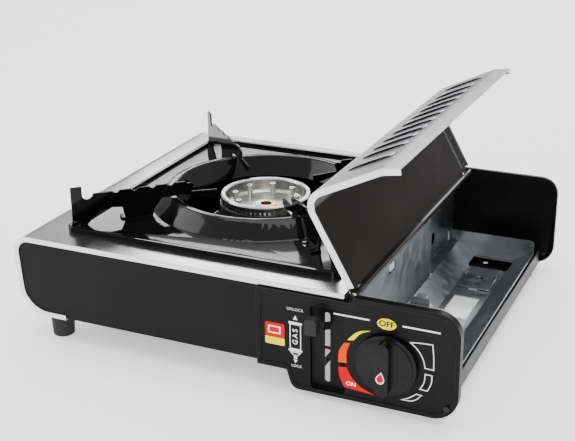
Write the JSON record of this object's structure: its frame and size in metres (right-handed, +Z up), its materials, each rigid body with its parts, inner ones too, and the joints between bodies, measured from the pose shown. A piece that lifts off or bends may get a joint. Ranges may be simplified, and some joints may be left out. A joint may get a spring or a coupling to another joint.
{
  "type": "portable gas stove",
  "caption": "Low boxy portable gas stove with a round burner, a raised square drip tray with radial pan supports, a knob, a lock lever and a canister bay under an open hinged lid.",
  "frame": {"origin": "on the ground under the middle of the whole stove", "axes": "+Z up, +X towards the canister bay, -Y towards the front with the knob"},
  "size_m": [0.3411, 0.288, 0.1689],
  "materials": {
    "stainless": "satin",
    "black_panel": "gloss",
    "galvanised": "dull",
    "black_steel": "satin",
    "black_enamel": "gloss",
    "cast_aluminium": "as cast",
    "burner_brass": "dull",
    "bright_steel": "bright",
    "black_plastic": "satin",
    "grey_plastic": "matte",
    "rubber": "matte",
    "white_ceramic": "glazed",
    "wire_sleeve": "matte"
  },
  "bodies": {
    "stove_body": {"back_panel": "black_panel", "base_pan": "black_steel", "burner_base": "cast_aluminium", "burner_bowl": "cast_aluminium", "burner_hub": "burner_brass", "burner_posts": "bright_steel", "burner_screws": "bright_steel", "burner_stand": "galvanised", "canister_tray": "galvanised", "connector": "burner_brass", "connector_seal": "rubber", "control_panel": "black_panel", "diaphragm_cap": "bright_steel", "flame_ring": "burner_brass", "foot_back_left": "rubber", "foot_back_right": "rubber", "foot_front_left": "rubber", "foot_front_right": "rubber", "front_panel": "black_panel", "gas_pipe": "burner_brass", "guide_bracket": "galvanised", "hinge_bracket_back": "black_steel", "hinge_bracket_front": "black_steel", "hinge_bracket_middle": "black_steel", "hinge_rod": "bright_steel", "igniter_bracket": "galvanised", "igniter_ceramic": "white_ceramic", "igniter_electrode": "bright_steel", "igniter_wire": "wire_sleeve", "jet": "burner_brass", "lever_bracket": "galvanised", "lever_pin": "bright_steel", "mixing_tube": "cast_aluminium", "panel_screws": "black_steel", "partition": "galvanised", "piezo_unit": "black_plastic", "pipe_union": "burner_brass", "regulator_body": "cast_aluminium", "regulator_bracket": "galvanised", "side_rail": "black_steel", "top_panel": "stainless", "wire_grommet": "rubber"},
    "pan_tray": {"drip_tray": "black_enamel", "support_rivets": "bright_steel", "pan_support_back_left": "black_enamel", "pan_support_back_right": "black_enamel", "pan_support_front_left": "black_enamel", "pan_support_front_right": "black_enamel"},
    "control_knob": {"knob": "black_plastic", "valve_spindle": "bright_steel"},
    "lock": {"lock_lever": "bright_steel", "lever_grip": "grey_plastic"},
    "carriage": {"canister_carriage": "galvanised", "carriage_link": "galvanised"},
    "canister_lid": {"lid": "stainless"}
  },
  "joints": [
    {"name": "knob_turn", "type": "hinge", "parent": "stove_body", "child": "control_knob", "pos_m": [0.1224, -0.1235, 0.037], "axis": [0, -1, 0], "range_deg": [0, 140]},
    {"name": "lock_lever_swing", "type": "hinge", "parent": "stove_body", "child": "lock", "pos_m": [0.079, -0.089, 0.038], "axis": [1, 0, 0], "range_deg": [0, 44.41]},
    {"name": "carriage_slide", "type": "slide", "parent": "stove_body", "child": "carriage", "axis": [0, -1, 0], "range_m": [0, 0.0062]},
    {"name": "tray_lift", "type": "slide", "parent": "stove_body", "child": "pan_tray", "axis": [-0.4848, 0, 0.8746], "range_m": [0, 0.06]},
    {"name": "lid_hinge", "type": "hinge", "parent": "stove_body", "child": "canister_lid", "pos_m": [0.0968, 0.0061, 0.0776], "axis": [0, 1, 0], "range_deg": [0, 119]}
  ],
  "couplings": [
    {"joint": "carriage_slide", "follows": "lock_lever_swing", "m_per_rad": 0.0077}
  ]
}
